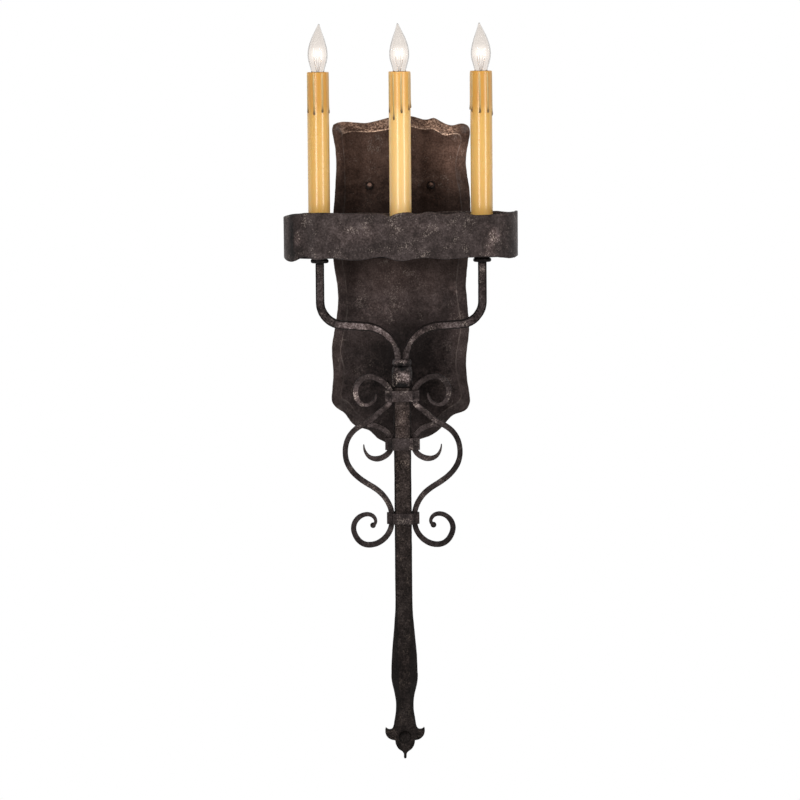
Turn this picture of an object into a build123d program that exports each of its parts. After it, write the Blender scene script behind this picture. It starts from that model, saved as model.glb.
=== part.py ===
from build123d import *
import math
import os

os.makedirs("parts", exist_ok=True)

# Frame: the wall is y = 0, the front faces -y, z is up, z = 0 is the line of the two mounting screws

# Back plate
plate_half_width = 76.0
plate_top = 72.0
plate_shoulder = -249.0
plate_point = -306.0
plate_depth = 10.0
plate_edge = 2.5
plate_border = 11.0
plate_wall = 2.5
plate_land = 3.5
border_waver = 1.0

# Wall strap and its screws
screw_spacing = 69.85
box_screw_spacing = 88.9
slot_length = 9.6
slot_radius = 2.4
crossbar_length = 112.0
crossbar_height = 16.0
crossbar_thick = 2.5
crossbar_centre_hole = 5.0
stud_radius = 2.05
knob_radius = 4.7
lock_nut_flats = 8.7
lock_nut_height = 3.2
ground_screw_x = 15.0
ground_screw_radius = 1.9
ground_head_radius = 3.6
ground_head_height = 2.2

# Plane of the ironwork in front of the plate
front_y = -90.0

# Stand-off
standoff_z = -211.0
standoff_radius = 6.35
standoff_tail_radius = 4.0
standoff_nut_flats = 12.7
standoff_nut_height = 4.6
standoff_washer_radius = 9.5
standoff_washer_thick = 1.5

# Hub
hub_top = -191.0
hub_ring_height = 8.2
hub_ring_radius = 10.8
hub_groove = 0.8
hub_barrel_height = 22.0
hub_radius = 11.45
hub_neck_radius = 9.6
hub_crown = 0.7

# Stem
bar = 19.05
bar_chamfer = 1.4
stem_tenon_radius = 6.0
stem_tenon_length = 6.0
swell_start = -462.0
swell_z = -547.0
swell_width = 29.4
neck_z = -582.0
neck_width = 19.8
leaf_z = -607.0
leaf_width = 25.4
leaf_thick = 7.0
horn_reach = 9.0
finial_height = 37.8
finial_pin = 1.6
rivet_z = -620.0
rivet_radius = 7.2
rivet_height = 4.2
rivet_shank_radius = 2.5

# Collars
collar_top_z = -232.5
collar_mid_z = -286.6
collar_low_z = -371.0
collar_height = 12.7
collar_strap = 2.2
collar_room = 0.5

# Scrolls
scroll_bar = 6.0
scroll_depth = 6.35
scroll_ball_radius = 3.3
scroll_tip = 1.1
scroll_snub = 0.55

# Tray
tray_length = 262.0
candle_spacing = tray_length * 0.3473
tray_depth = 80.0
band_top = -25.8
band_bottom = -76.4
band_thick = 3.2
tray_sheet = 2.0
cover_recess = 0.6
wireway = 16.5

# Arms
arm_bar = 9.5
arm_tail = 7.3
arm_tail_x = 4.35
arm_level = -152.5
arm_bend_1 = 26.0
arm_bend_2 = 40.0
arm_bend_3 = 30.0
arm_slope = 4.0
arm_lean = 66.0
washer_radius = 10.1
washer_thick = 4.4
washer_neck_radius = 8.2
washer_neck = 2.6
tenon_radius = 3.15
fixing_nut_flats = 11.1
fixing_nut_height = 5.0

# Wire tube
tube_radius = 5.15
tube_bore = 3.4
tube_nut_flats = 13.5
tube_nut_height = 3.0
tube_inside = 8.0
lead_radius = 1.2
lead_offset = 8.4
lead_spread = 1.55
lead_bend = 3.0

# Candles
sleeve_radius = 12.4
sleeve_bore = 10.8
sleeve_top = 130.5
run_radius = 0.7
run_bury = 0.3
run_bead_radius = 1.2
bracket_sheet = 1.2
bracket_width = 6.0
bracket_ring_radius = 8.0
socket_radius = 10.2
socket_height = 30.0
socket_below_rim = 22.5
shell_radius = 6.4
shell_thick = 0.35
contact_radius = 3.0

# Bulbs
cap_radius = 5.7
cap_height = 19.5
cap_thick = 0.5
bulb_tip_radius = 2.4
bulb_tip_height = 2.4
bulb_height = 53.5
bulb_belly_radius = 11.2
bulb_belly_rise = 17.5
bulb_glass_thick = 0.9
bulb_bend = 1.7
glass_neck_depth = 25.5
press_radius = 2.1
filament_rise = 17.0
filament_bow = 3.5
filament_half = 4.2
filament_wire = 0.28
filament_coil = 0.55

fit = 0.1
drop = 0.3
half = bar / 2
scroll_line = half + fit + scroll_bar / 2
plate_front = -plate_depth
plate_back = -(plate_depth - plate_wall)
cover_z = band_bottom + cover_recess
floor_under = cover_z + tray_sheet + wireway
floor_z = floor_under + tray_sheet
candle_x = {"left": -candle_spacing, "centre": 0.0, "right": candle_spacing}


def save(name, *solids):
    shape = solids[0] if len(solids) == 1 else Compound(children=list(solids))
    export_step(shape, f"parts/{name}.step")


def rod_z(radius, z0, z1, x=0.0, y=0.0):
    return Pos(x, y, (z0 + z1) / 2) * Cylinder(radius, abs(z1 - z0))


def rod_y(radius, y0, y1, x=0.0, z=0.0):
    return Pos(x, (y0 + y1) / 2, z) * Rot(90, 0, 0) * Cylinder(radius, abs(y1 - y0))


def block(x0, x1, y0, y1, z0, z1):
    return Pos((x0 + x1) / 2, (y0 + y1) / 2, (z0 + z1) / 2) * Box(abs(x1 - x0), abs(y1 - y0), abs(z1 - z0))


def nut_z(flats, z0, z1, bore, x=0.0, y=0.0):
    face = RegularPolygon(flats / 2, 6, major_radius=False) - Circle(bore)
    return Pos(x, y, z0) * extrude(face, z1 - z0)


def nut_y(flats, y0, y1, bore, x=0.0, z=0.0):
    return Pos(x, y1, z) * Rot(90, 0, 0) * nut_z(flats, 0, y1 - y0, bore)


def turned(points, x=0.0, y=0.0):
    """Solid turned about a vertical axis from radius and height pairs."""
    face = Plane.XZ * make_face(Polyline(*points, close=True))
    return Pos(x, y, 0) * revolve(face, Axis.Z)


# Back plate: a wavy outline, raised field and bevelled border, hollow behind

# Sideways and up, or down the side and outward, as shares of the plate's own sizes
top_wave = [(-0.98, -0.031), (-0.88, 0), (-0.55, -0.019), (-0.23, 0.041), (0.25, 0.058), (0.4, 0.023)]
top_wave += [(0.5, 0.048), (0.6, 0.006), (0.77, -0.064), (0.95, -0.043), (1.01, -0.069)]
right_wave = [(0.09, 0.01), (0.24, 0.032), (0.5, 0.002), (0.59, -0.026), (0.735, 0.014), (0.82, -0.023)]
right_wave += [(0.96, 0.005), (1.005, 0.011)]
right_foot = [(0.97, 0.14), (0.78, 0.25), (0.66, 0.4), (0.54, 0.57), (0.39, 0.69), (0.18, 0.8)]
left_foot = [(0.23, 0.82), (0.39, 0.7), (0.51, 0.55), (0.68, 0.48), (0.77, 0.39), (0.86, 0.22), (0.99, 0.09)]
left_wave = [(1, 0.05), (0.965, 0.057), (0.88, 0.031), (0.83, 0.046), (0.75, 0.014), (0.6, -0.051)]
left_wave += [(0.5, 0.009), (0.26, -0.016), (0.135, -0.04), (0.06, -0.007), (0.026, 0.011)]


def plate_face(inset, y, waver=0.0):
    """The plate's outline as a face at depth y, drawn in by inset all round."""
    half_width = plate_half_width
    side = plate_top - plate_shoulder
    foot = plate_shoulder - plate_point
    points = [(half_width * s, plate_top + half_width * w) for s, w in top_wave]
    points += [(half_width * (1 + w), plate_top - side * s) for s, w in right_wave]
    points += [(half_width * s, plate_shoulder - foot * d) for s, d in right_foot]
    points += [(0.0, plate_point)]
    points += [(-half_width * s, plate_shoulder - foot * d) for s, d in left_foot]
    points += [(-half_width * (1 + w), plate_top - side * s) for s, w in left_wave]
    middle = (plate_top + plate_point) / 2
    tall = (plate_top - plate_point) / 2
    moved = []
    for i, (x, z) in enumerate(points):
        draw_in = inset + waver * math.sin(2.4 * i)
        moved.append((x * (1 - draw_in / half_width), middle + (z - middle) * (1 - draw_in / tall)))
    return Plane.XZ.offset(-y) * make_face(Spline(*moved, periodic=True))


rim = extrude(plate_face(0, 0), plate_edge)
field = loft([plate_face(0, -plate_edge), plate_face(plate_border, plate_front, border_waver)], ruled=True)
hollow_top = plate_face(plate_border + plate_wall, plate_back, border_waver)
hollow = loft([plate_face(plate_land, 0), hollow_top], ruled=True)
tube_z = (cover_z + tray_sheet + floor_under) / 2
backplate = rim + field - hollow
for x in (-screw_spacing / 2, screw_spacing / 2):
    backplate -= rod_y(stud_radius + 0.3, plate_front - 2, 0, x)
backplate -= rod_y(standoff_tail_radius + 0.2, plate_front - 2, 0, 0, standoff_z)
backplate -= rod_y(tube_radius + 0.2, plate_front - 2, 0, 0, tube_z)
save("backplate", backplate)

# Wall strap, studs, lock nuts, knobs and ground screw

crossbar = Pos(0, -crossbar_thick / 2, 0) * Box(crossbar_length, crossbar_thick, crossbar_height)
crossbar = fillet(crossbar.edges().filter_by(Axis.Y), crossbar_height * 0.3)
for x in (-box_screw_spacing / 2, box_screw_spacing / 2):
    slot = extrude(Plane.XZ * SlotOverall(slot_length, 2 * slot_radius), crossbar_thick + 1, both=True)
    crossbar -= Pos(x, 0, 0) * slot
for x in (-screw_spacing / 2, screw_spacing / 2):
    crossbar -= rod_y(stud_radius + 0.05, -crossbar_thick - 1, 1, x)
crossbar -= rod_y(crossbar_centre_hole, -crossbar_thick - 1, 1)
crossbar -= rod_y(ground_screw_radius + 0.05, -crossbar_thick - 1, 1, ground_screw_x)
save("crossbar", crossbar)

knob_seat = plate_front
stud_end = knob_seat - knob_radius
studs = []
nuts = []
knobs = []
for x in (-screw_spacing / 2, screw_spacing / 2):
    studs.append(rod_y(stud_radius, stud_end, 0, x))
    nut_front = -crossbar_thick - lock_nut_height
    nuts.append(nut_y(lock_nut_flats, nut_front, -crossbar_thick, stud_radius + 0.05, x))
    ball = Pos(x, knob_seat - knob_radius * 0.7, 0) * Sphere(knob_radius)
    ball -= block(x - knob_radius, x + knob_radius, knob_seat, knob_seat + 9, -knob_radius, knob_radius)
    knobs.append(ball - rod_y(stud_radius + 0.05, stud_end - 0.3, knob_seat + 1, x))
save("mounting_studs", *studs)
save("stud_lock_nuts", *nuts)
save("cap_knobs", *knobs)
ground = rod_y(ground_screw_radius, -crossbar_thick - 0.5, 0, ground_screw_x)
ground += rod_y(ground_head_radius, -crossbar_thick - ground_head_height, -crossbar_thick, ground_screw_x)
save("ground_screw", ground)

# Hub barrel, ring and stand-off bar

ring_under = hub_top - hub_ring_height
barrel_top = ring_under - hub_groove
barrel_under = barrel_top - hub_barrel_height
stem_top = barrel_under - hub_groove
barrel_mid = (barrel_top + barrel_under) / 2
lip_radius = hub_radius - hub_crown
belly = ThreePointArc((lip_radius, barrel_under), (hub_radius, barrel_mid), (lip_radius, barrel_top))
crown = Polyline((0, ring_under), (hub_neck_radius, ring_under), (hub_neck_radius, barrel_top), belly @ 1)
foot = Polyline(belly @ 0, (hub_neck_radius, barrel_under), (hub_neck_radius, stem_top), (0, stem_top))
hub_outline = crown + belly + foot + Line((0, stem_top), (0, ring_under))
hub = Pos(0, front_y, 0) * revolve(Plane.XZ * make_face(hub_outline), Axis.Z)
hub -= rod_z(stem_tenon_radius + fit, stem_top - 1, stem_top + stem_tenon_length + 0.3, 0, front_y)
hub -= rod_y(standoff_tail_radius + fit, front_y + 2, front_y + 20, 0, standoff_z)
hub -= rod_y(standoff_radius + fit, front_y + hub_radius - 2.0, front_y + 20, 0, standoff_z)
save("hub_barrel", hub)

ring = fillet(Cylinder(hub_ring_radius, hub_ring_height).edges(), hub_ring_height * 0.4)
ring = Pos(0, front_y, (hub_top + ring_under) / 2) * ring
tail_slot = Box(2 * arm_tail_x + arm_tail + 0.5, arm_tail + 0.5, hub_ring_height + 2)
ring -= Pos(0, front_y, (hub_top + ring_under) / 2) * tail_slot
save("hub_ring", ring)

standoff = rod_y(standoff_radius, front_y + hub_radius - 1.9, plate_front, 0, standoff_z)
standoff += rod_y(standoff_tail_radius, front_y + 2.2, front_y + hub_radius, 0, standoff_z)
standoff += rod_y(standoff_tail_radius, plate_front - 2, -0.6, 0, standoff_z)
save("standoff_bar", standoff)
washer_y = plate_back + standoff_washer_thick
washer = rod_y(standoff_washer_radius, plate_back, washer_y, 0, standoff_z)
save("standoff_washer", washer - rod_y(standoff_tail_radius + fit, plate_back - 1, 0, 0, standoff_z))
nut_y1 = washer_y + standoff_nut_height
standoff_nut = nut_y(standoff_nut_flats, washer_y, nut_y1, standoff_tail_radius + 0.05, 0, standoff_z)
save("standoff_nut", standoff_nut)

# Stem: square bar, eight-sided swelling, neck and fleur finial


def eight_sided(z, width, depth, cut):
    a, b = width / 2, depth / 2
    points = [(a - cut, -b), (a, -b + cut), (a, b - cut), (a - cut, b)]
    points += [(-a + cut, b), (-a, b - cut), (-a, -b + cut), (-a + cut, -b)]
    return Pos(0, front_y, z) * make_face(Polyline(*points, close=True))


def between(a, b, share):
    return a + (b - a) * share


def swell_section(share):
    rise = (1 - math.cos(math.pi * share)) / 2
    width = between(bar, swell_width, rise)
    cut = between(bar_chamfer, swell_width * 0.29, share)
    return eight_sided(between(swell_start, swell_z, share), width, width, cut)


shaft = extrude(eight_sided(swell_start, bar, bar, bar_chamfer), stem_top - swell_start)
swelling = loft([swell_section(s) for s in (0, 0.3, 0.55, 0.8, 1)])
below = [eight_sided(swell_z, swell_width, swell_width, swell_width * 0.29)]
waist_z = between(swell_z, neck_z, 0.5)
spread_z = between(neck_z, leaf_z, 0.6)
waist_width = between(swell_width, neck_width, 0.42)
below.append(eight_sided(waist_z, waist_width, swell_width * 0.72, swell_width * 0.22))
below.append(eight_sided(neck_z, neck_width, swell_width * 0.42, neck_width * 0.2))
below.append(eight_sided(spread_z, between(neck_width, leaf_width, 0.4), leaf_thick * 1.15, leaf_thick * 0.3))
below.append(eight_sided(leaf_z, leaf_width, leaf_thick, leaf_thick * 0.17))
taper = loft(below)



def leaf_point(across, down):
    """A point of the finial, as shares of the leaf's width and the finial's height."""
    return (leaf_width * across, leaf_z - finial_height * down)


horn_share = 0.5 + horn_reach / leaf_width
pin_share = finial_pin / leaf_width
shoulder = Polyline((0, leaf_z), (leaf_width / 2, leaf_z), leaf_point(0.547, 0.09))
cusp = ThreePointArc(shoulder @ 1, leaf_point(horn_share - 0.157, 0.122), leaf_point(horn_share, 0.058))
cheek = ThreePointArc(cusp @ 1, leaf_point(horn_share - 0.047, 0.317), leaf_point(0.433, 0.444))
lobe = ThreePointArc(cheek @ 1, leaf_point(0.37, 0.635), leaf_point(0.205, 0.754))
throat = ThreePointArc(lobe @ 1, leaf_point(0.102, 0.81), leaf_point(pin_share, 0.873))
pin = Line(throat @ 1, leaf_point(pin_share, 0.958))
point = ThreePointArc(pin @ 1, leaf_point(pin_share * 0.7, 0.989), leaf_point(0, 1))
half_leaf = make_face(shoulder + cusp + cheek + lobe + throat + pin + point + Line(point @ 1, shoulder @ 0))
half_leaf = extrude(Plane.XZ.offset(-front_y) * half_leaf, leaf_thick / 2, both=True)
stem = shaft + swelling + taper + half_leaf + mirror(half_leaf, Plane.YZ)
stem += rod_z(stem_tenon_radius, stem_top - 2, stem_top + stem_tenon_length, 0, front_y)
stem -= rod_y(rivet_shank_radius + fit, front_y - leaf_thick, front_y + leaf_thick, 0, rivet_z)
save("stem", stem)

leaf_front = front_y - leaf_thick / 2
leaf_back = front_y + leaf_thick / 2
dome_radius = (rivet_radius**2 + rivet_height**2) / (2 * rivet_height)
dome = Pos(0, leaf_front - rivet_height + dome_radius, rivet_z) * Sphere(dome_radius)
dome &= Pos(0, leaf_front - rivet_height, rivet_z) * Box(4 * rivet_radius, 2 * rivet_height, 4 * rivet_radius)
rivet = dome + rod_y(rivet_shank_radius, leaf_front - 1, leaf_back, 0, rivet_z)
rivet += rod_y(rivet_radius * 0.6, leaf_back, leaf_back + 1.2, 0, rivet_z)
save("finial_rivet", rivet)

# Scrolls: flat bars bent edge on, drawn as a line with a width that tapers


def stations(line, count):
    """Places along a drawn line, each with its direction."""
    places = []
    for i in range(count + 1):
        share = i / count
        place, along = line @ share, line % share
        places.append((place.X, place.Y, math.atan2(along.Y, along.X), share))
    return places


def ribbon(places, half_width, depth):
    """A bar of the given depth whose width follows half_width(share) along the places."""
    left = []
    right = []
    for x, z, turn, share in places:
        w = half_width(share)
        left.append((x - w * math.sin(turn), z + w * math.cos(turn)))
        right.append((x + w * math.sin(turn), z - w * math.cos(turn)))
    side_1, side_2 = Spline(*left), Spline(*right)
    outline = side_1 + Line(side_1 @ 1, side_2 @ 1) + side_2 + Line(side_2 @ 0, side_1 @ 0)
    return extrude(Plane.XZ.offset(-front_y) * make_face(outline), depth / 2, both=True)


# Points out from the bar's line at the stem and up from a collar
low_volute = [(21.4, -8), (18.4, -3), (22, 3), (29.7, 4.5), (38, 0.5), (43.2, -9), (41, -20), (33, -28.5)]
low_volute += [(21.4, -29.7), (10.5, -24.5), (2.8, -14.8), (0.4, -6), (0.1, 0), (0.4, 6), (4.2, 17.8)]
low_volute += [(14, 30.3), (29.7, 40.9), (43, 52), (50.8, 66)]
top_volute = [(51.8, -61), (48.2, -47.5), (38, -36), (25.5, -29), (13, -18.5), (2.4, -9.2), (0.4, -4.6)]
top_volute += [(0.1, 0), (0.4, 4.6), (2.5, 9.2), (8.9, 15.6), (17.2, 20.3), (25.5, 21.6), (34, 17.5), (39, 9)]
top_volute += [(38.8, -1), (33, -9.2), (25, -9.8), (18.4, -5), (16.5, 2.6)]
weld_points = [(29.5, -32.6), (19, -33.2)]
small_volute = [(9.8, 17.2), (2.6, 10.2), (0.4, 5), (0.1, 0), (0.4, -5), (2.6, -9.8), (8.8, -15)]
small_volute += [(17.2, -17.2), (25, -14.8), (29.6, -8.6), (31, -1)]


def out_from(points, height):
    return [(scroll_line + out, height + up) for out, up in points]


large_line = Spline(*out_from(low_volute, collar_low_z), *out_from(top_volute, collar_top_z))
small_line = Spline(*out_from(weld_points, collar_top_z), *out_from(small_volute, collar_mid_z))


def large_width(share, grow=0.0):
    drawn = min(1, scroll_snub + 4.5 * share) * min(1, scroll_tip / scroll_bar * 2 + 7 * (1 - share))
    return scroll_bar / 2 * drawn + grow


def small_width(share):
    return scroll_bar / 2 * min(1, scroll_tip / scroll_bar + 3 * (1 - share))


large_places = stations(large_line, 70)
large = ribbon(large_places, large_width, scroll_depth)
ball_place = large_line @ 0
large += Pos(ball_place.X, front_y, ball_place.Y) * Sphere(scroll_ball_radius)
joint_side = ribbon(large_places, lambda share: large_width(share, fit), scroll_depth + 2)
small = ribbon(stations(small_line, 34), small_width, scroll_depth)
small = max((small - joint_side).solids(), key=lambda s: s.volume)
for name, piece in (("large", large), ("small", small)):
    save(f"scroll_{name}_right", piece)
    save(f"scroll_{name}_left", mirror(piece, Plane.YZ))

# Collars: forged straps round the stem and the two bars beside it


def collar(z, height, room=collar_room):
    ear = half + fit + scroll_bar + room
    inner = Rectangle(bar + 2 * fit, bar + 2 * fit) + Rectangle(2 * ear, scroll_depth + 2 * fit)
    strap = 2 * collar_strap
    outer = Rectangle(bar + 2 * fit + strap, bar + 2 * fit + strap)
    outer += Rectangle(2 * ear + strap, scroll_depth + 2 * fit + strap)
    return Pos(0, front_y, z - height / 2) * extrude(outer - inner, height)


save("collar_upper", collar(collar_top_z, collar_height - 0.4, collar_room + 0.9))
save("collar_middle", collar(collar_mid_z, collar_height + 1.3, collar_room + 1.2))
save("collar_lower", collar(collar_low_z, collar_height))

# Arms: square bars bent twice, drawn down to the hub, with a threaded end through the tray

washer_top = cover_z
washer_under = washer_top - washer_neck - washer_thick
arm_top = washer_under - fit


def walk(x, z, turn, steps):
    """Places along a run of lines and bends; a step is a length with a turn in degrees."""
    places = [(x, z, turn)]
    for length, bend in steps:
        count = max(3, int(length / 4))
        for i in range(count):
            mean = turn + math.radians(bend) * 0.5 / count
            chord = length / count
            if bend:
                chord *= math.sin(math.radians(bend) / count / 2) / (math.radians(bend) / count / 2)
            x += chord * math.cos(mean)
            z += chord * math.sin(mean)
            turn += math.radians(bend) / count
            places.append((x, z, turn))
    count = len(places) - 1
    return [(x, z, turn, i / count) for i, (x, z, turn) in enumerate(places)]


def bend_step(radius, degrees):
    return (radius * math.radians(abs(degrees)), degrees)


def sine(degrees):
    return math.sin(math.radians(degrees))


def cosine(degrees):
    return math.cos(math.radians(degrees))


turn_1 = 90 - arm_slope
turn_2 = arm_lean - arm_slope
turn_3 = 90 - arm_lean
bend_out = arm_bend_1 * (1 - sine(arm_slope)) + arm_bend_2 * (sine(arm_lean) - sine(arm_slope))
bend_out += arm_bend_3 * (1 - sine(arm_lean))
run = (candle_spacing - arm_tail_x - bend_out) / cosine(arm_slope)
upright = arm_top - arm_level - arm_bend_1 * cosine(arm_slope)
fall = arm_bend_2 * (cosine(arm_slope) - cosine(arm_lean)) + arm_bend_3 * cosine(arm_lean)
fall += run * sine(arm_slope)
tail = arm_level - fall - ring_under - fit
steps = [(upright, 0), bend_step(arm_bend_1, -turn_1), (run, 0), bend_step(arm_bend_2, turn_2)]
steps += [bend_step(arm_bend_3, turn_3), (tail, 0)]
arm_places = walk(candle_spacing, arm_top, -math.pi / 2, steps)


def arm_width(share):
    return between(arm_bar, arm_tail, min(1, max(0, (share - 0.6) / 0.25))) / 2


bracket_base = floor_z + bracket_sheet
arm = ribbon(arm_places, arm_width, arm_bar)
tail_trim = Box(3 * hub_radius, arm_bar, hub_ring_height * 4)
for y in (front_y - (arm_tail + arm_bar) / 2, front_y + (arm_tail + arm_bar) / 2):
    arm -= Pos(0, y, hub_top - hub_ring_height) * tail_trim
arm += rod_z(tenon_radius, arm_top - 3, bracket_base + fixing_nut_height + 1.5, candle_spacing, front_y)
save("arm_right", arm)
save("arm_left", mirror(arm, Plane.YZ))

washer_bore = tenon_radius + fit
washer_lip = washer_top - washer_neck
washer_ease = washer_thick * 0.27
washer_points = [(washer_bore, washer_top), (washer_neck_radius, washer_top)]
washer_points += [(washer_neck_radius, washer_lip)]
washer_points += [(washer_radius - washer_ease, washer_lip), (washer_radius, washer_lip - washer_ease)]
washer_points += [(washer_radius, washer_under + washer_ease), (washer_radius - washer_ease, washer_under)]
washer_points += [(washer_bore, washer_under)]
save("arm_washers", *[turned(washer_points, x, front_y) for x in (-candle_spacing, candle_spacing)])

bolt = rod_z(tenon_radius, cover_z, bracket_base + fixing_nut_height + 1.5, 0, front_y)
bolt += rod_z(tenon_radius * 1.9, cover_z - 1.8, cover_z, 0, front_y)
save("centre_bolt", bolt)
nut_top = bracket_base + fixing_nut_height
fixing_nut = nut_z(fixing_nut_flats, bracket_base, nut_top, tenon_radius + 0.05, 0, front_y)
save("fixing_nuts", *[Pos(x, 0, 0) * fixing_nut for x in candle_x.values()])

# Tray: a band with hand-cut edges round a bottom cover and a floor

# Along the tray as shares of its half length, and the rise of the cut edge
front_top = [(-1, -4.5), (-0.93, -2.5), (-0.84, 0.6), (-0.74, 1.4), (-0.57, 1.1), (-0.33, 0), (-0.18, 0)]
front_top += [(-0.13, -1.2), (-0.095, -3.2), (-0.05, -1), (0.02, 1), (0.085, 1), (0.125, -0.9), (0.17, -0.2)]
front_top += [(0.22, 1.4), (0.32, -0.4), (0.42, -1.4), (0.515, 0.3), (0.58, -1.3), (0.76, -2.2), (1, 0)]
front_low = [(-1, 0.2), (-0.9, -2.1), (-0.81, 2.8), (-0.755, 0.3), (-0.61, 1), (-0.47, -0.8), (-0.28, 0)]
front_low += [(-0.18, 2.1), (-0.12, 1.2), (-0.02, -2.4), (0.12, -0.2), (0.25, 0.4), (0.36, -1.1), (0.48, 0)]
front_low += [(0.62, 1.2), (0.8, 1), (0.96, -0.9), (1, 0.2)]
rear_top = [(-1, -4.5), (-0.87, -2.8), (-0.58, -3.9), (-0.3, -3), (-0.05, -4.2), (0.3, -3.2), (0.54, -2)]
rear_top += [(0.68, -3.4), (0.83, -2), (0.94, -2.6), (1, 0)]
rear_low = [(-1, 0.2), (-0.8, -0.8), (-0.53, 1.2), (-0.27, -1), (0, 0.6), (0.23, -1.2), (0.47, 0.8)]
rear_low += [(0.75, -0.8), (1, 0.2)]


def racetrack(inset, z0, z1):
    face = SlotOverall(tray_length - 2 * inset, tray_depth - 2 * inset)
    return Pos(0, front_y, z0) * extrude(face, z1 - z0)


def wavy_slab(top, low, y0, y1):
    """A slab from y0 to y1 whose upper and lower edges follow the two waves."""
    upper = Spline(*[(share * tray_length / 2, band_top + rise) for share, rise in top])
    lower = Spline(*[(share * tray_length / 2, band_bottom + rise) for share, rise in low])
    face = make_face(upper + Line(upper @ 1, lower @ 1) + lower + Line(lower @ 0, upper @ 0))
    return extrude(Plane.XZ.offset(-y1) * face, y1 - y0)


ring_band = racetrack(0, band_bottom - 6, band_top + 6) - racetrack(band_thick, band_bottom - 7, band_top + 7)
reach = tray_depth / 2 + 2
band = ring_band & wavy_slab(front_top, front_low, front_y - reach, front_y)
band += ring_band & wavy_slab(rear_top, rear_low, front_y, front_y + reach)
tray_rear = front_y + tray_depth / 2
band -= rod_y(tube_radius + 0.15, tray_rear - 10, tray_rear + 2, 0, tube_z)
save("tray_band", band)

cover = racetrack(band_thick + fit, cover_z, cover_z + tray_sheet)
floor = racetrack(band_thick + fit, floor_under, floor_z)
for x in candle_x.values():
    cover -= rod_z(tenon_radius + fit, cover_z - 1, cover_z + 9, x, front_y)
    floor -= rod_z(tenon_radius + fit, floor_under - 1, floor_z + 1, x, front_y)
    floor -= rod_z(lead_radius + 0.4, floor_under - 1, floor_z + 1, x, front_y + lead_offset)
save("tray_cover", cover)
save("tray_floor", floor)

# Wire tube with lock nuts, and the leads to the three sockets

inner_wall = tray_rear - band_thick
tube_end = inner_wall - tube_inside
tube = rod_y(tube_radius, tube_end, -3.0, 0, tube_z)
save("wire_tube", tube - rod_y(tube_bore, tube_end - 1, 1, 0, tube_z))
nut_places = [inner_wall - tube_nut_height, tray_rear, plate_front - tube_nut_height, plate_back]
tube_nut = nut_y(tube_nut_flats, 0, tube_nut_height, tube_radius + 0.05, 0, tube_z)
save("tube_nuts", *[Pos(0, y, 0) * tube_nut for y in nut_places])

socket_top = sleeve_top - socket_below_rim
socket_under = socket_top - socket_height
lead_angles = {"left": 150, "centre": 270, "right": 30}
leads = []
for name, x in candle_x.items():
    dx = lead_spread * cosine(lead_angles[name])
    z = tube_z + lead_spread * sine(lead_angles[name])
    y = front_y + lead_offset
    turn_y = tube_end - 9.0
    route = [(dx, -3.2, z), (dx, turn_y, z), (x, turn_y, z), (x, y, z), (x, y, socket_under - fit)]
    if x == 0:
        route = [(0, -3.2, z), (0, y, z), (0, y, socket_under - fit)]
    line = FilletPolyline(*route, radius=lead_bend)
    leads.append(sweep(Plane(origin=line @ 0, z_dir=line % 0) * Circle(lead_radius), path=line))
save("lead_wires", *leads)

# Candles and bulbs, built once at the middle and set out along the tray

cap_top = sleeve_top - socket_below_rim + 0.5
cap_under = cap_top - cap_height
tip_under = cap_under - bulb_tip_height
contact_top = tip_under - drop
socket_floor = socket_under + 4.0

bracket = rod_z(bracket_ring_radius, floor_z, bracket_base)
bracket -= rod_z(tenon_radius + fit, floor_z - 1, bracket_base + 1)
bracket -= rod_z(lead_radius + 0.4, floor_z - 1, bracket_base + 1, 0, lead_offset)
strip_y = -math.sqrt((sleeve_bore - 0.5) ** 2 - (bracket_width / 2) ** 2)
strip = block(-bracket_width / 2, bracket_width / 2, strip_y, strip_y + bracket_sheet, floor_z, socket_under)
bracket += strip + block(-bracket_width / 2, bracket_width / 2, strip_y, -4.0, floor_z, bracket_base)
shelf = block(-bracket_width / 2, bracket_width / 2, strip_y, 4.0, socket_under - bracket_sheet, socket_under)
bracket += shelf - rod_z(1.3, socket_under - 3, socket_under + 1)

socket = rod_z(socket_radius, socket_under, socket_top)
socket -= rod_z(shell_radius + 0.05, socket_floor, socket_top + 1)
socket -= rod_z(1.25, socket_under - 1, socket_floor + 1)
socket = chamfer(socket.edges().group_by(Axis.Z)[-1], 0.6)
shell = rod_z(shell_radius, socket_floor + 2.2, socket_top - 0.5)
shell -= rod_z(shell_radius - shell_thick, socket_floor + 2.2 + shell_thick, socket_top + 1)
shell -= rod_z(contact_radius + 1.4, socket_floor, socket_top)
contact = rod_z(contact_radius, socket_floor, contact_top)
contact += rod_z(1.2, socket_under - 1.6, socket_floor + 0.5)

sleeve = rod_z(sleeve_radius, floor_z + 0.1, sleeve_top) - rod_z(sleeve_bore, floor_z - 1, sleeve_top + 1)
sleeve = fillet(sleeve.edges().group_by(Axis.Z)[-1], (sleeve_radius - sleeve_bore) * 0.4)

# Runs of wax: degrees round the sleeve from the front, and how far below the rim each one sets
wax_runs = {
    "left": [(-66, 44.4), (-21, 46.3), (24, 44), (78, 45.1), (128, 41), (182, 47), (236, 43)],
    "centre": [(-67, 44.7), (-34, 52.6), (9, 45.1), (58, 42.4), (84, 39.9), (140, 45), (212, 43)],
    "right": [(-86, 42.4), (-57, 44.4), (-8, 45.5), (36, 45.5), (80, 48.9), (142, 42), (208, 46)],
}


def wax_run(degrees, fall):
    """A slim run of wax down the sleeve to its bead."""
    x = (sleeve_radius - run_bury) * sine(degrees)
    y = -(sleeve_radius - run_bury) * cosine(degrees)
    bead_z = sleeve_top - fall
    run = rod_z(run_radius, bead_z, sleeve_top - 2 * run_radius, x, y)
    return run + Pos(x, y, bead_z) * Sphere(run_bead_radius)


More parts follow.
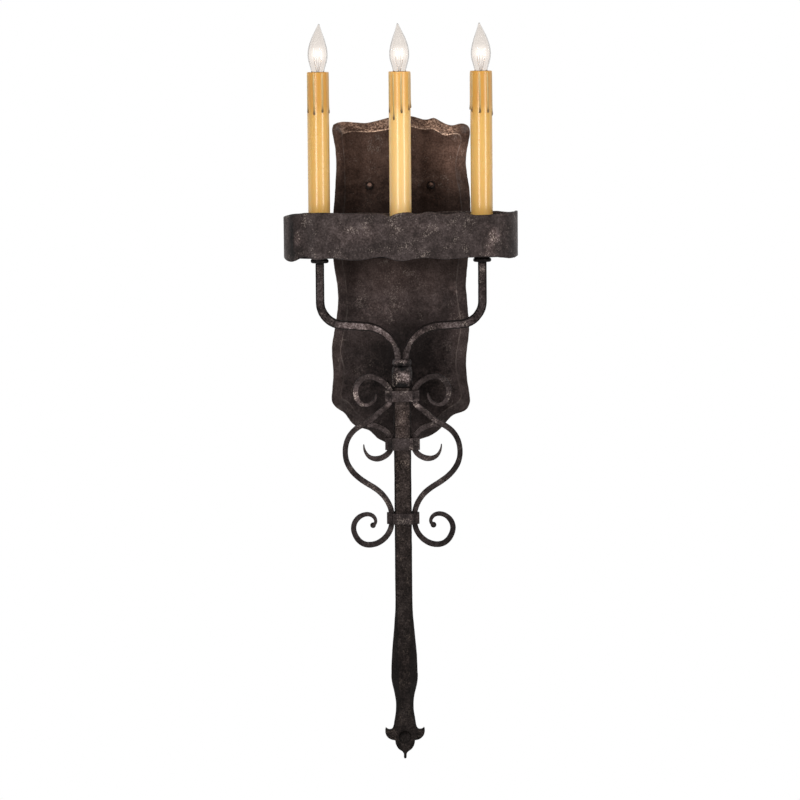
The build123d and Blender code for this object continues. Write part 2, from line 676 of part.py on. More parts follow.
base = rod_z(cap_radius, cap_under + 2.5, cap_top)
base += Pos(0, 0, cap_under + 1.25) * Cone(bulb_tip_radius + 1.0, cap_radius, 2.5)
base -= rod_z(cap_radius - cap_thick, cap_under + 3.0, cap_top + 1)
tip = Pos(0, 0, (tip_under + cap_under) / 2) * Cone(bulb_tip_radius * 0.8, bulb_tip_radius, bulb_tip_height)

# Glass: rings stacked up a slightly bent line, from the neck in the cap to the flame tip
glass_rings = [(-glass_neck_depth, 0.43), (-12, 0.49), (0, 0.62), (7.5, 0.8), (bulb_belly_rise, 1.0)]
glass_rings += [(bulb_height * 0.52, 0.94), (bulb_height * 0.7, 0.7), (bulb_height * 0.87, 0.37)]
glass_rings += [(bulb_height, 0.09)]


def glass_body(thin):
    faces = []
    for rise, share in glass_rings:
        radius = bulb_belly_radius * share - thin
        if rise == bulb_height:
            rise -= 3.2 * thin
            radius = bulb_belly_radius * share - 0.35 * thin
        bend = bulb_bend * max(0, rise / bulb_height - 0.5) ** 2 * 4
        faces.append(Pos(bend, 0, sleeve_top + rise) * Circle(radius))
    return loft(faces)


glass_foot = sleeve_top - glass_neck_depth
glass = glass_body(0)
void = glass_body(bulb_glass_thick) - rod_z(cap_radius, glass_foot - 1, glass_foot + bulb_glass_thick)
press = rod_z(press_radius, glass_foot, sleeve_top + 1.0)
glass = glass - void + press

coil_z = sleeve_top + filament_rise
arch = ThreePointArc((-filament_half, 0, coil_z), (0, 0, coil_z + filament_bow), (filament_half, 0, coil_z))
filament = sweep(Plane(origin=arch @ 0, z_dir=arch % 0) * Circle(filament_coil), path=arch)
for way in (-1, 1):
    lead = Line((way * 0.9, 0, sleeve_top - 6), (way * filament_half, 0, coil_z + 0.1))
    filament += sweep(Plane(origin=lead @ 0, z_dir=lead % 0) * Circle(filament_wire), path=lead)
glass -= filament

bulb_turn = {"left": 0, "centre": 180, "right": 180}
candle_pieces = {"socket_bracket": bracket, "socket_body": socket, "socket_shell": shell}
candle_pieces.update({"socket_contact": contact, "bulb_base": base, "bulb_tip": tip})
candle_pieces.update({"bulb_glass": glass, "bulb_filament": filament})
for name, x in candle_x.items():
    candle_pieces["sleeve"] = sleeve + [wax_run(*run) for run in wax_runs[name]]
    for kind, piece in candle_pieces.items():
        turn = bulb_turn[name] if kind in ("bulb_glass", "bulb_filament") else 0
        save(f"{kind}_{name}", Pos(x, front_y, 0) * Rot(0, 0, turn) * piece)
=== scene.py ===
import math

import bpy
from mathutils import Euler, Matrix, Vector


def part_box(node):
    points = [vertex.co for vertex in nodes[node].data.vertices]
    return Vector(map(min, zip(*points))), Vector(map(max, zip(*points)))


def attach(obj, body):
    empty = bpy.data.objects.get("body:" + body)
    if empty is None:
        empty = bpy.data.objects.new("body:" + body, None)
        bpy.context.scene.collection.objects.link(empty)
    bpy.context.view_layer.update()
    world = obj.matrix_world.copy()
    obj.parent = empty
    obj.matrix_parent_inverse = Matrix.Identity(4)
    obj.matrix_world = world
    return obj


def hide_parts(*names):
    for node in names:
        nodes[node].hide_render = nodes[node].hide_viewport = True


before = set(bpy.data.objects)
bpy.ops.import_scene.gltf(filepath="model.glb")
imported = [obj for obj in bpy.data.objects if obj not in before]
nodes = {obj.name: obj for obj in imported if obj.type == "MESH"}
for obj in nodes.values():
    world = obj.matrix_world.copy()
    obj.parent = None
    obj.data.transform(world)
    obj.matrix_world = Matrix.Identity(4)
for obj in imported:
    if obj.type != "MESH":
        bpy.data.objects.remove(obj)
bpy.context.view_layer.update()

SIDES = ("left", "centre", "right")
MM = 0.001
SAME_PLACE = 0.001 * MM

# Where the candles stand, taken from the frame
front_y = sum(corner.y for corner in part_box("bulb_base_centre")) / 2
candle_x = {side: sum(corner.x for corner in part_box("bulb_base_" + side)) / 2 for side in SIDES}
sleeve_foot_z, rim_z = (corner.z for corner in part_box("sleeve_centre"))
glass_low, glass_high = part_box("bulb_glass_centre")
flame_tip_z = glass_high.z
belly_radius = (glass_high.y - glass_low.y) / 2
sleeve_radius = 12.4 * MM


# Working habits: one object in hand at a time, modifiers applied as they are made


def take(piece):
    """Makes piece the only selected and the active object."""
    if bpy.context.object and bpy.context.object.mode != "OBJECT":
        bpy.ops.object.mode_set(mode="OBJECT")
    bpy.ops.object.select_all(action="DESELECT")
    piece.select_set(True)
    bpy.context.view_layer.objects.active = piece


def open_mesh(piece):
    """Takes piece into edit mode with all of it selected."""
    take(piece)
    bpy.ops.object.mode_set(mode="EDIT")
    bpy.ops.mesh.select_all(action="SELECT")


def close_mesh():
    bpy.ops.object.mode_set(mode="OBJECT")


def face_outwards():
    """Turns all faces of the open mesh outwards."""
    bpy.ops.mesh.select_all(action="SELECT")
    bpy.ops.mesh.normals_make_consistent(inside=False)


def finish_with(piece, kind, **settings):
    """Adds a modifier with these settings and applies it."""
    step = piece.modifiers.new(kind.lower(), kind)
    for name, value in settings.items():
        setattr(step, name, value)
    take(piece)
    bpy.ops.object.modifier_apply(modifier=step.name)


def join_to(piece, others):
    """Makes the others part of piece and leaves it in hand."""
    take(piece)
    for other in others:
        other.select_set(True)
    bpy.ops.object.join()


def coat(piece, material):
    """Gives piece this material alone."""
    piece.data.materials.clear()
    piece.data.materials.append(material)


def fix_place():
    """Puts the place of the object in hand into its mesh."""
    bpy.ops.object.transform_apply(location=True, rotation=True, scale=True)


def draw_out(name, rings, points=48):
    """Draws a closed round body ring by ring; a ring is its middle and its half widths in x and y."""
    (place, wide, deep), *further = rings
    bpy.ops.object.select_all(action="DESELECT")
    bpy.ops.mesh.primitive_circle_add(vertices=points, radius=wide, fill_type="NGON", location=place)
    piece = bpy.context.object
    piece.name = name
    open_mesh(piece)
    bpy.ops.transform.resize(value=(1.0, deep / wide, 1.0), center_override=place)
    for middle, wider, deeper in further:
        step = [new - old for new, old in zip(middle, place)]
        bpy.ops.mesh.extrude_region_move(TRANSFORM_OT_translate={"value": step})
        bpy.ops.transform.resize(value=(wider / wide, deeper / deep, 1.0), center_override=middle)
        place, wide, deep = middle, wider, deeper
    face_outwards()
    close_mesh()
    return piece


def settle(piece, body, node):
    """Puts the place into the mesh, then ties the piece to its body and hides its CAD node."""
    take(piece)
    fix_place()
    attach(piece, body)
    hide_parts(node)


# Shader building: short names for nodes and links


def set_sockets(node, values):
    for name, value in values.items():
        node.inputs[name].default_value = value


class Shader:
    """A node tree with helpers that add a node, join it up and give what it puts out."""

    def __init__(self, tree):
        self.tree = tree
        self.column = 0

    def add(self, kind, values=None, **settings):
        node = self.tree.nodes.new(kind)
        self.column += 1
        node.location = (180 * self.column, -60 * (self.column % 5))
        for name, value in settings.items():
            setattr(node, name, value)
        set_sockets(node, values or {})
        return node

    def join(self, source, target):
        self.tree.links.new(source, target)

    def place(self):
        return self.add("ShaderNodeTexCoord").outputs["Object"]

    def split(self, vector):
        """The three parts of a place or a normal."""
        node = self.add("ShaderNodeSeparateXYZ")
        self.join(vector, node.inputs["Vector"])
        return node.outputs

    def ramp(self, factor, *stops):
        """Colours along a factor; a stop is its place and its colour."""
        node = self.add("ShaderNodeValToRGB")
        points = node.color_ramp.elements
        while len(points) < len(stops):
            points.new(0.5)
        for point, (place, colour) in zip(points, stops):
            point.position = place
            point.color = (*colour, 1.0)
        self.join(factor, node.inputs["Fac"])
        return node.outputs["Color"]

    def levels(self, factor, *stops):
        """Plain values along a factor; a stop is its place and its value."""
        return self.ramp(factor, *((place, (level, level, level)) for place, level in stops))

    def span(self, value, start, end, low=0.0, high=1.0, way="LINEAR"):
        """Goes from low to high as a value goes from start to end, and stays there beyond."""
        limits = {"From Min": start, "From Max": end, "To Min": low, "To Max": high}
        node = self.add("ShaderNodeMapRange", limits, interpolation_type=way)
        self.join(value, node.inputs["Value"])
        return node.outputs["Result"]

    def maths(self, operation, first, second=0.0):
        node = self.add("ShaderNodeMath", operation=operation)
        for socket, value in zip(node.inputs, (first, second)):
            if isinstance(value, (int, float)):
                socket.default_value = value
            else:
                self.join(value, socket)
        return node.outputs["Value"]

    def product(self, first, *further):
        for factor in further:
            first = self.maths("MULTIPLY", first, factor)
        return first

    def swing(self, noise, amount):
        """How far a noise swings to either side of its middle, times an amount."""
        return self.product(self.maths("SUBTRACT", noise, 0.5), amount)

    def mix(self, factor, first, second, blend="MIX"):
        node = self.add("ShaderNodeMix", data_type="RGBA", blend_type=blend)
        sockets = (node.inputs[0], node.inputs[6], node.inputs[7])
        for socket, value in zip(sockets, (factor, first, second)):
            if isinstance(value, (int, float)):
                socket.default_value = value
            elif isinstance(value, tuple):
                socket.default_value = (*value, 1.0)
            else:
                self.join(value, socket)
        return node.outputs[2]

    def tinted(self, colour, tint):
        return self.mix(1.0, colour, tint, "MULTIPLY")

    def dimmed(self, colour, level):
        node = self.add("ShaderNodeVectorMath", operation="SCALE")
        self.join(colour, node.inputs[0])
        self.join(level, node.inputs["Scale"])
        return node.outputs["Vector"]

    def noise(self, place, scale, detail, roughness, distortion=0.0):
        node = self.add("ShaderNodeTexNoise")
        set_sockets(node, {"Detail": detail, "Roughness": roughness, "Distortion": distortion})
        if isinstance(scale, float):
            node.inputs["Scale"].default_value = scale
        else:
            self.join(scale, node.inputs["Scale"])
        self.join(place, node.inputs["Vector"])
        return node.outputs["Fac"]

    def bump(self, height, strength, distance):
        node = self.add("ShaderNodeBump", {"Strength": strength, "Distance": distance})
        self.join(height, node.inputs["Height"])
        return node.outputs["Normal"]


def new_material(name):
    """A material with a Principled shader; gives the material, its shader helper and the Principled node."""
    material = bpy.data.materials.new(name)
    material.use_nodes = True
    sheet = Shader(material.node_tree)
    return material, sheet, material.node_tree.nodes["Principled BSDF"]


def add_sockets(group, way, kind, *facts):
    """Puts named sockets of one kind on a group; each fact is a name and its usual value."""
    for name, value in facts:
        socket = group.interface.new_socket(name, in_out=way, socket_type="NodeSocket" + kind)
        if value is not None:
            socket.default_value = value


def spot_group():
    """A soft round patch on the front: one in its middle, nothing past its reach, with a ragged edge."""
    group = bpy.data.node_groups.new("soft patch", "ShaderNodeTree")
    where = (("Middle X", 0.0), ("Middle Z", 0.0), ("Reach X", 0.05), ("Reach Z", 0.05))
    add_sockets(group, "INPUT", "Float", *where)
    add_sockets(group, "OUTPUT", "Float", ("Mask", None))
    sheet = Shader(group)
    given = sheet.add("NodeGroupInput").outputs
    out = sheet.add("NodeGroupOutput")
    place = sheet.place()
    at = sheet.split(place)
    squares = []
    for axis in "XZ":
        off = sheet.maths("SUBTRACT", at[axis], given["Middle " + axis])
        off = sheet.maths("DIVIDE", off, given["Reach " + axis])
        squares.append(sheet.product(off, off))
    away = sheet.maths("SQRT", sheet.maths("ADD", *squares))
    broad = sheet.noise(place, scale=70.0, detail=3.0, roughness=0.6)
    fine = sheet.noise(place, scale=330.0, detail=2.0, roughness=0.6)
    ragged = sheet.maths("SUBTRACT", sheet.maths("ADD", broad, fine), 1.0)
    mask = sheet.span(sheet.maths("ADD", away, ragged), 1.0, 0.25, way="SMOOTHSTEP")
    sheet.join(mask, out.inputs["Mask"])
    return group


# Tones of the iron from its hollows to its high spots: share of the mottle or grain, and the colour there
BLACKENED = (
    (0.3, (0.0045, 0.0032, 0.0029)),
    (0.45, (0.021, 0.0152, 0.0142)),
    (0.58, (0.044, 0.0335, 0.0325)),
    (0.72, (0.1, 0.081, 0.078)),
)
BROWNED = (
    (0.3, (0.010, 0.0052, 0.0034)),
    (0.45, (0.038, 0.0205, 0.0145)),
    (0.58, (0.072, 0.0415, 0.0305)),
    (0.72, (0.13, 0.082, 0.06)),
)
# Rubbed tones, also a painted highlight on slopes that face up and on the border's crest
RUB_AND_HIGHLIGHT_TONES = ((0.38, (0.036, 0.021, 0.015)), (0.5, (0.125, 0.074, 0.052)), (0.6, (0.31, 0.198, 0.14)))
CREST_RUB_AND_HIGHLIGHT_TONES = ((0.4, (0.14, 0.084, 0.058)), (0.58, (0.74, 0.5, 0.36)))
FLECK_COLOUR = (0.27, 0.22, 0.19)
BORDER_COLOUR = (0.085, 0.068, 0.062)
BRONZE_EDGE = (0.24, 0.155, 0.108, 1.0)
# Near black for edges and marked bar corners: a painted shade
EDGE_SHADE = (0.007, 0.005, 0.0045, 1.0)

# Heights between which the iron turns from black to brown, and those between which it darkens to the finial
BROWN_FROM, BROWN_TO = -130 * MM, 0.0
DARKER_FROM, DARKER_TO = -250 * MM, -450 * MM
# Half widths between which the rubbing and its painted highlight die out at the plate's corners
RUB_AND_HIGHLIGHT_KEPT, RUB_AND_HIGHLIGHT_GONE = 56 * MM, 70 * MM

# What the finish is given, with its usual values
PATINA_AMOUNTS = (
    ("Lightness", 1.0), ("Mottle Scale", 90.0), ("Contrast", 1.0), ("Drift", 0.3), ("Flecks", 0.5),
    ("Edge Wear", 0.5), ("Top Rub", 0.0), ("Border", 0.0), ("Flank", 0.5), ("Warmth", 0.3), ("Fade", 0.5),
)


def patina_group():
    """Hand-rubbed iron finish: mottled ground, flecks in drifts and darker hollows; edges rubbed to bronze on
    the plate and blackened elsewhere as painted shade; slopes that face up rubbed lighter and given a painted
    highlight; flanks darkened as painted shade.
    """
    group = bpy.data.node_groups.new("hammered patina", "ShaderNodeTree")
    add_sockets(group, "INPUT", "Float", *PATINA_AMOUNTS)
    add_sockets(group, "INPUT", "Color", ("Edge Colour", EDGE_SHADE))
    add_sockets(group, "OUTPUT", "Color", ("Colour", None))
    add_sockets(group, "OUTPUT", "Float", ("Roughness", None), ("Height", None))
    sheet = Shader(group)
    given = sheet.add("NodeGroupInput").outputs
    out = sheet.add("NodeGroupOutput")
    place = sheet.place()
    at = sheet.split(place)
    surface = sheet.add("ShaderNodeNewGeometry").outputs
    normal = sheet.split(surface["Normal"])
    front = sheet.product(normal["Y"], -1.0)

    # Ground: black below and browner towards the top
    mottle = sheet.noise(place, given["Mottle Scale"], detail=6.0, roughness=0.62, distortion=0.3)
    grain = sheet.noise(place, scale=520.0, detail=3.0, roughness=0.65)
    drift = sheet.noise(place, scale=24.0, detail=3.0, roughness=0.55)
    tone = sheet.maths("ADD", sheet.product(mottle, 0.45), sheet.product(grain, 0.55))
    tone = sheet.maths("ADD", tone, sheet.swing(drift, given["Drift"]))
    tone = sheet.maths("ADD", sheet.swing(tone, given["Contrast"]), 0.5)
    upper = sheet.span(at["Z"], BROWN_FROM, BROWN_TO, low=0.12)
    brown = sheet.product(given["Warmth"], upper)
    colour = sheet.mix(brown, sheet.ramp(tone, *BLACKENED), sheet.ramp(tone, *BROWNED))

    # Flecks: fine sparks that gather in clusters
    spark = sheet.noise(place, scale=760.0, detail=1.5, roughness=0.5)
    cluster = sheet.noise(place, scale=60.0, detail=3.0, roughness=0.62)
    fleck = sheet.levels(sheet.maths("ADD", spark, sheet.swing(cluster, 1.2)), (0.68, 0), (0.82, 1))
    colour = sheet.mix(sheet.product(fleck, given["Flecks"]), colour, FLECK_COLOUR)

    # Rubbed places with painted light: slopes that face up and the crest beside the border, rubbed lighter
    # and given a painted highlight; the border's inner line; and edges, rubbed to bronze on the plate and
    # blackened elsewhere as painted shade
    patchy = sheet.levels(cluster, (0.38, 0.25), (0.58, 1))
    inner = sheet.span(sheet.maths("ABSOLUTE", at["X"]), RUB_AND_HIGHLIGHT_GONE, RUB_AND_HIGHLIGHT_KEPT, low=0.05)
    rub = sheet.product(sheet.levels(front, (0.02, 0), (0.15, 1)), given["Top Rub"], patchy, inner)
    slope = sheet.levels(normal["Z"], (0.3, 0), (0.5, 1))
    colour = sheet.mix(sheet.product(slope, rub), colour, sheet.ramp(grain, *RUB_AND_HIGHLIGHT_TONES))
    border = sheet.levels(front, (0.86, 0), (0.91, 1), (0.972, 1), (0.99, 0))
    colour = sheet.mix(sheet.product(border, patchy, given["Border"]), colour, BORDER_COLOUR)
    crest = sheet.levels(normal["Z"], (0.14, 0), (0.22, 1), (0.4, 1), (0.5, 0))
    level_run = sheet.levels(sheet.maths("ABSOLUTE", normal["X"]), (0.16, 1), (0.27, 0))
    colour = sheet.mix(sheet.product(crest, rub, level_run), colour, sheet.ramp(grain, *CREST_RUB_AND_HIGHLIGHT_TONES))
    # Edges take the edge colour: bronze on the plate is rubbed wear, near black elsewhere is painted shade
    edge = sheet.levels(surface["Pointiness"], (0.512, 0), (0.56, 1))
    colour = sheet.mix(sheet.product(edge, patchy, given["Edge Wear"]), colour, given["Edge Colour"])

    # Darker: flanks that turn from the front, a painted shade; hollows; and the lower end of the light
    flank = sheet.product(sheet.span(front, 0.96, 0.45, way="SMOOTHSTEP"), given["Flank"])
    hollow = sheet.span(surface["Pointiness"], 0.49, 0.43, high=0.7)
    lower = sheet.product(sheet.span(at["Z"], DARKER_FROM, DARKER_TO), given["Fade"])
    level = given["Lightness"]
    for dark in (flank, hollow, lower):
        level = sheet.product(level, sheet.maths("SUBTRACT", 1.0, dark))

    skin = sheet.noise(place, scale=240.0, detail=5.0, roughness=0.6)
    sheet.join(sheet.dimmed(colour, level), out.inputs["Colour"])
    sheet.join(sheet.levels(tone, (0.35, 0.62), (0.7, 0.4)), out.inputs["Roughness"])
    sheet.join(sheet.maths("ADD", skin, sheet.product(grain, 0.5)), out.inputs["Height"])
    return group


soft_patch = spot_group()
patina = patina_group()


def iron_material(name, relief, gloss, patches, sheen=0.0, rim=0.0, tint=(1.0, 1.0, 1.0), **amounts):
    """Painted wrought iron from the shared patina, with its own amounts and its darker and lighter patches of
    painted shadow and highlight.

    A rim above nothing blackens the bar's corners as far as mark_corners has marked them, a painted shade.
    """
    material, sheet, iron = new_material(name)
    finish = sheet.add("ShaderNodeGroup", node_tree=patina)
    set_sockets(finish, {socket.replace("_", " ").title(): value for socket, value in amounts.items()})
    colour = sheet.tinted(finish.outputs["Colour"], tint)
    # Painted shadows and highlights, patch by patch
    for *where, strength in patches:
        patch = sheet.add("ShaderNodeGroup", node_tree=soft_patch)
        for socket, value in zip(("Middle X", "Middle Z", "Reach X", "Reach Z"), where):
            patch.inputs[socket].default_value = value * MM
        level = sheet.span(patch.outputs["Mask"], 0.0, 1.0, low=1.0, high=strength)
        colour = sheet.dimmed(colour, level)
    # Painted shade: the marked corners of a bar blackened
    if rim:
        marked = sheet.add("ShaderNodeAttribute", attribute_name="near a corner").outputs["Fac"]
        colour = sheet.mix(sheet.product(marked, rim), colour, EDGE_SHADE[:3])
    sheet.join(colour, iron.inputs["Base Color"])
    sheet.join(sheet.maths("SUBTRACT", finish.outputs["Roughness"], sheen), iron.inputs["Roughness"])
    sheet.join(sheet.bump(finish.outputs["Height"], relief, 0.6 * MM), iron.inputs["Normal"])
    set_sockets(iron, {"Metallic": 0.0, "Specular IOR Level": gloss})
    return material


# Patches of painted shadow and highlight, among them a few lighter places of the finish: place and reach
# across and up in mm, then how much lighter or darker the colour is there
PLATE_SHADE_AND_LIGHT = (
    (0, -46, 300, 72, 0.42), (2, -200, 74, 52, 0.32), (0, -252, 88, 58, 0.42), (-4, -115, 78, 46, 2.3),
    (-40, -160, 40, 34, 1.6), (64, -165, 15, 60, 1.9), (-74, -175, 9, 90, 1.9), (60, 20, 20, 40, 1.4),
    (45, 45, 50, 40, 1.7), (-40, 40, 50, 40, 1.12), (-57, 71, 17, 8, 2.0), (-70, 38, 12, 36, 1.8),
    (74, 36, 12, 32, 1.3),
)
BAND_SHADE_AND_LIGHT = (
    (104, -51, 9, 11, 2.5), (99, -70, 8, 20, 1.8), (104, -52, 18, 34, 1.25), (-52, -50, 34, 18, 1.5),
    (10, -42, 60, 16, 1.3), (-121, -56, 4, 42, 0.3), (-116, -53, 6, 10, 2.6), (-129, -50, 6, 60, 2.2),
    (-113, -70, 8, 12, 0.6), (0, -90, 160, 14, 0.75), (128, -50, 4, 60, 1.8), (113, -28.5, 13, 1.8, 2.4),
)
ARM_SHADE_AND_LIGHT = (
    (-46, -153, 44, 14, 2.7), (-22, -170, 20, 18, 2.5), (40, -153, 46, 14, 1.7), (20, -172, 16, 18, 2.0),
    (87, -103, 12, 28, 1.8),
)
SCROLL_SHADE_AND_LIGHT = (
    (-51, -234, 14, 14, 2.3), (-40, -243, 12, 9, 1.7), (-13, -241, 9, 7, 2.6), (17, -241, 9, 7, 2.4),
    (50, -228, 10, 9, 1.5), (48, -214, 32, 36, 0.6), (-14, -234, 5, 9, 0.5), (15, -234, 5.5, 9, 0.6),
    (-13.5, -288, 5, 9, 0.55), (15.5, -288, 5.5, 9, 0.45), (-62, -300, 26, 75, 0.6), (63, -300, 26, 75, 0.42),
    (54, -377, 30, 38, 0.52), (-52, -383, 28, 38, 0.85),
)
STEM_SHADE_AND_LIGHT = (
    (0, -262, 8, 26, 1.6), (-10, -330, 3.2, 160, 0.3), (10.5, -330, 3.6, 160, 0.3), (2, -534, 6, 22, 1.8),
    (-12, -510, 3, 50, 2.2), (13, -510, 3, 50, 2.2), (0, -615, 40, 48, 0.85), (0, -294, 9, 1.1, 2.4),
    (0, -415, 8, 1.0, 2.2),
)
KNOB_SHADE_AND_LIGHT = ((-34.9, 1.4, 3.0, 2.6, 4.0), (34.9, 1.4, 3.0, 2.6, 5.0), (0, -4.8, 90, 4.2, 0.12))
HUB_SHADE_AND_LIGHT = ((1, -200, 13, 7.5, 0.05), (0, -221, 13, 7, 0.06), (5, -211, 9, 8, 2.0))

plate_iron = iron_material(
    "plate iron", relief=0.5, gloss=0.07, patches=PLATE_SHADE_AND_LIGHT, edge_colour=BRONZE_EDGE,
    lightness=1.06, mottle_scale=85.0, contrast=0.7, drift=0.12, flecks=0.2, edge_wear=0.3,
    flank=0.0, warmth=0.9, fade=0.2, top_rub=1.0, border=0.8,
)
tray_iron = iron_material(
    "tray iron", relief=0.6, gloss=0.16, patches=BAND_SHADE_AND_LIGHT,
    lightness=1.05, mottle_scale=95.0, contrast=0.95, drift=0.2, flecks=0.5, edge_wear=0.3,
    flank=0.35, warmth=0.15, fade=0.0, top_rub=0.1,
)
arm_iron = iron_material(
    "arm iron", relief=0.7, gloss=0.08, patches=ARM_SHADE_AND_LIGHT, rim=0.95,
    lightness=1.05, mottle_scale=110.0, contrast=1.5, drift=0.25, flecks=0.5, edge_wear=0.9,
    flank=0.9, warmth=0.2, fade=0.5,
)
scroll_iron = iron_material(
    "scroll iron", relief=0.6, gloss=0.1, patches=SCROLL_SHADE_AND_LIGHT,
    lightness=1.35, mottle_scale=120.0, contrast=1.0, drift=0.15, flecks=0.45, edge_wear=0.2,
    flank=0.75, warmth=0.1, fade=0.55,
)
stem_iron = iron_material(
    "stem iron", relief=0.7, gloss=0.08, patches=STEM_SHADE_AND_LIGHT, rim=0.5, tint=(1.0, 0.95, 0.88),
    lightness=1.0, mottle_scale=110.0, contrast=1.5, drift=0.25, flecks=0.45, edge_wear=1.0,
    flank=0.85, warmth=0.2, fade=0.62,
)
hub_iron = iron_material(
    "hub iron", relief=1.0, gloss=0.12, patches=HUB_SHADE_AND_LIGHT,
    lightness=1.85, mottle_scale=140.0, contrast=2.3, drift=0.2, flecks=1.0, edge_wear=0.6,
    flank=0.7, warmth=0.4, fade=0.5,
)
washer_iron = iron_material(
    "washer iron", relief=0.5, gloss=0.1, patches=(),
    lightness=0.4, mottle_scale=110.0, contrast=1.3, drift=0.2, flecks=0.2, edge_wear=0.0,
    flank=0.5, warmth=0.1, fade=0.0,
)
knob_iron = iron_material(
    "knob iron", relief=0.2, gloss=0.2, patches=KNOB_SHADE_AND_LIGHT, sheen=0.1,
    lightness=0.8, mottle_scale=110.0, contrast=1.0, drift=0.1, flecks=0.05, edge_wear=0.0,
    flank=0.92, warmth=0.9, fade=0.0,
)
# The tray's cover and floor, darkened as painted shade inside the tray
shaded_inner_iron = iron_material(
    "shaded inner iron", relief=0.4, gloss=0.05, patches=(),
    lightness=0.35, mottle_scale=100.0, contrast=1.0, drift=0.2, flecks=0.1, edge_wear=0.2,
    flank=0.0, warmth=0.1, fade=0.0,
)

# Wax: its streaks and clouds, then the tints above the beads, the painted shade of the outer candles, the
# painted light by height, and the tint of it all
WAX_STREAKS = ((0.3, (0.85, 0.50, 0.168)), (0.7, (0.92, 0.58, 0.23)))
WAX_CLOUD = (0.88, 0.545, 0.22)
AMBER_TINT = (0.87, 0.74, 0.53)
OUTER_SHADE_TINT = (0.83, 0.76, 0.57)
# Painted light by height: the wax lighter towards its foot, against the tray's shade
HEIGHT_LIGHT_TINTS = ((0.0, (0.87, 0.85, 0.74)), (1.0, (1.0, 1.0, 1.0)))
WAX_TINT = (1.02, 1.07, 1.1)
# Heights between which the amber comes in, and distances from the middle between which the outer candles'
# painted shade does
AMBER_FROM = rim_z - 50 * MM
AMBER_TO = AMBER_FROM + 13 * MM
OUTER_FROM, OUTER_TO = 20 * MM, 70 * MM


def wax_material():
    """Honey candle resin, faintly streaked down its length, more amber above where the wax ran."""
    material, sheet, wax = new_material("honey wax")
    place = sheet.place()
    at = sheet.split(place)
    run = sheet.add("ShaderNodeMapping", {"Scale": (1.0, 1.0, 0.05)})
    sheet.join(place, run.inputs["Vector"])
    streak = sheet.noise(run.outputs["Vector"], scale=260.0, detail=3.0, roughness=0.5)
    cloud = sheet.noise(place, scale=45.0, detail=3.0, roughness=0.5)
    tone = sheet.mix(sheet.product(cloud, 0.25), sheet.ramp(streak, *WAX_STREAKS), WAX_CLOUD)

    ragged = sheet.maths("ADD", at["Z"], sheet.swing(streak, 0.03))
    above = sheet.span(ragged, AMBER_FROM, AMBER_TO)
    tone = sheet.mix(above, tone, sheet.tinted(tone, AMBER_TINT))
    # Painted shade: the outer candles darkened
    outer_shade = sheet.span(sheet.maths("ABSOLUTE", at["X"]), OUTER_FROM, OUTER_TO)
    tone = sheet.mix(outer_shade, tone, sheet.tinted(tone, OUTER_SHADE_TINT))
    # Painted light: the wax lighter down towards its foot
    low = sheet.span(at["Z"], AMBER_FROM, sleeve_foot_z + 10 * MM)
    tone = sheet.tinted(sheet.tinted(tone, sheet.ramp(low, *HEIGHT_LIGHT_TINTS)), WAX_TINT)
    sheet.join(tone, wax.inputs["Base Color"])

    gloss = sheet.mix(above, sheet.levels(cloud, (0.3, 0.24), (0.7, 0.28)), (0.3, 0.3, 0.3))
    sheet.join(gloss, wax.inputs["Roughness"])
    sheet.join(sheet.bump(streak, 0.02, 0.4 * MM), wax.inputs["Normal"])
    set_sockets(wax, {
        "Specular IOR Level": 0.75,
        "Subsurface Weight": 0.12,
        "Subsurface Radius": (1.0, 0.5, 0.2),
        "Subsurface Scale": 2.0 * MM,
        "Sheen Weight": 0.6,
        "Sheen Roughness": 0.4,
        "Sheen Tint": (1.0, 0.72, 0.33, 1.0),
    })
    return material


# A run's colour from the rim, at nothing, to its bead, at one
DRIP_TONES = (
    (0.0, (0.60, 0.40, 0.15)),
    (0.25, (0.47, 0.33, 0.135)),
    (0.8, (0.42, 0.285, 0.095)),
    (0.9, (0.3, 0.19, 0.06)),
    (0.96, (0.12, 0.066, 0.019)),
)


def drip_material():
    """Smoky wax in a set run, darkest in its bead; the run keeps how far down it lies as an attribute."""
    material, sheet, wax = new_material("smoked drip")
    down = sheet.add("ShaderNodeAttribute", attribute_name="down the run").outputs["Fac"]
    cloud = sheet.noise(sheet.place(), scale=300.0, detail=3.0, roughness=0.6)
    depth = sheet.maths("ADD", down, sheet.swing(cloud, 0.06))
    sheet.join(sheet.ramp(depth, *DRIP_TONES), wax.inputs["Base Color"])
    sheet.join(sheet.levels(cloud, (0.3, 0.25), (0.7, 0.4)), wax.inputs["Roughness"])
    return material


# The glass from where it faces the eye to where it is seen edge on, greyed edge on as a painted shade
GLASS_EDGE_SHADE_TONES = (
    (0.1, (0.915, 0.876, 0.842)),
    (0.36, (0.885, 0.85, 0.82)),
    (0.48, (0.68, 0.655, 0.63)),
    (0.6, (0.25, 0.237, 0.225)),
)
# Grey towards the drawn tip: a painted shade
GLASS_TIP_SHADE = (0.76, 0.74, 0.715)
# A glow painted on the glass round the filament's height: painted light
GLOW_COLOUR = (1.0, 0.96, 0.9)
GLOW_Z = rim_z + 19.5 * MM


